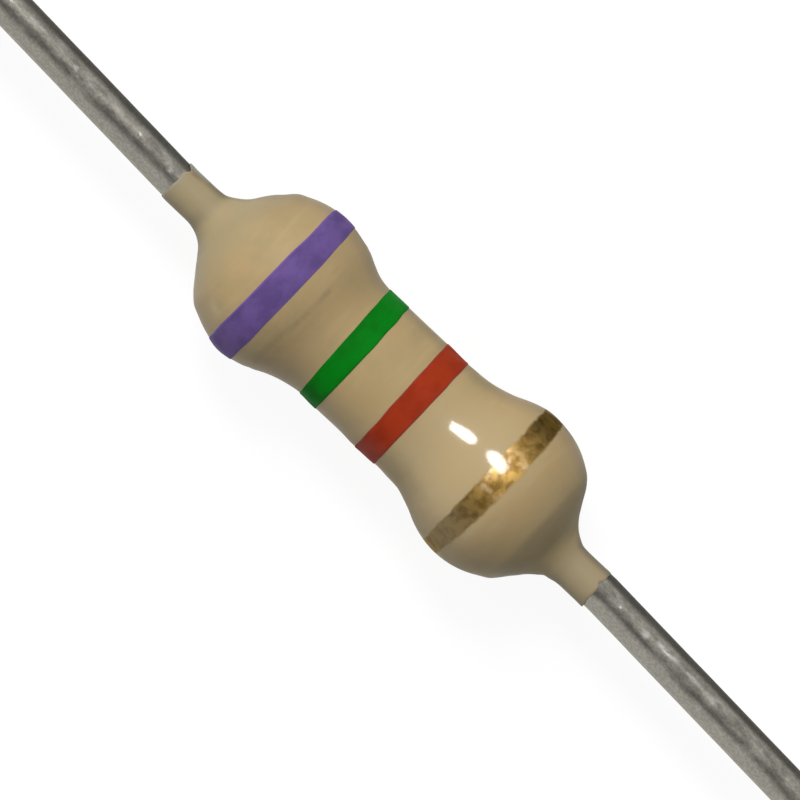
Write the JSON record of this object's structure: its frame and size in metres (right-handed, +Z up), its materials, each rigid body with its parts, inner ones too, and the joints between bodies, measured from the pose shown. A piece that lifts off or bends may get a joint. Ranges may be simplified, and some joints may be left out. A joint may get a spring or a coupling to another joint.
{
  "type": "axial resistor",
  "caption": "Axial resistor: a dog-bone lacquered body with painted colour bands and a long tinned wire at each end.",
  "frame": {"origin": "middle of the body and of its ceramic rod, on the body's axis", "axes": "+X along the body towards the gold band, +Y sideways in the plane that holds both wires, +Z up as the part lies"},
  "size_m": [0.0628, 0.0034, 0.0024],
  "materials": {
    "ceramic": "matte fired ceramic",
    "carbon": "matte dark film",
    "cap_steel": "tin plated",
    "tinned_wire": "satin tin plate with fine drawing lines",
    "lacquer": "satin to glossy beige lacquer",
    "violet_paint": "satin paint",
    "green_paint": "satin paint",
    "red_paint": "satin paint",
    "gold_paint": "metallic flake paint"
  },
  "bodies": {
    "root": {"ceramic_rod": "ceramic", "carbon_film": "carbon", "end_cap_left": "cap_steel", "end_cap_right": "cap_steel", "lead_wire_left": "tinned_wire", "lead_wire_right": "tinned_wire", "coating": "lacquer", "band_violet": "violet_paint", "band_green": "green_paint", "band_red": "red_paint", "band_gold": "gold_paint"}
  },
  "joints": []
}
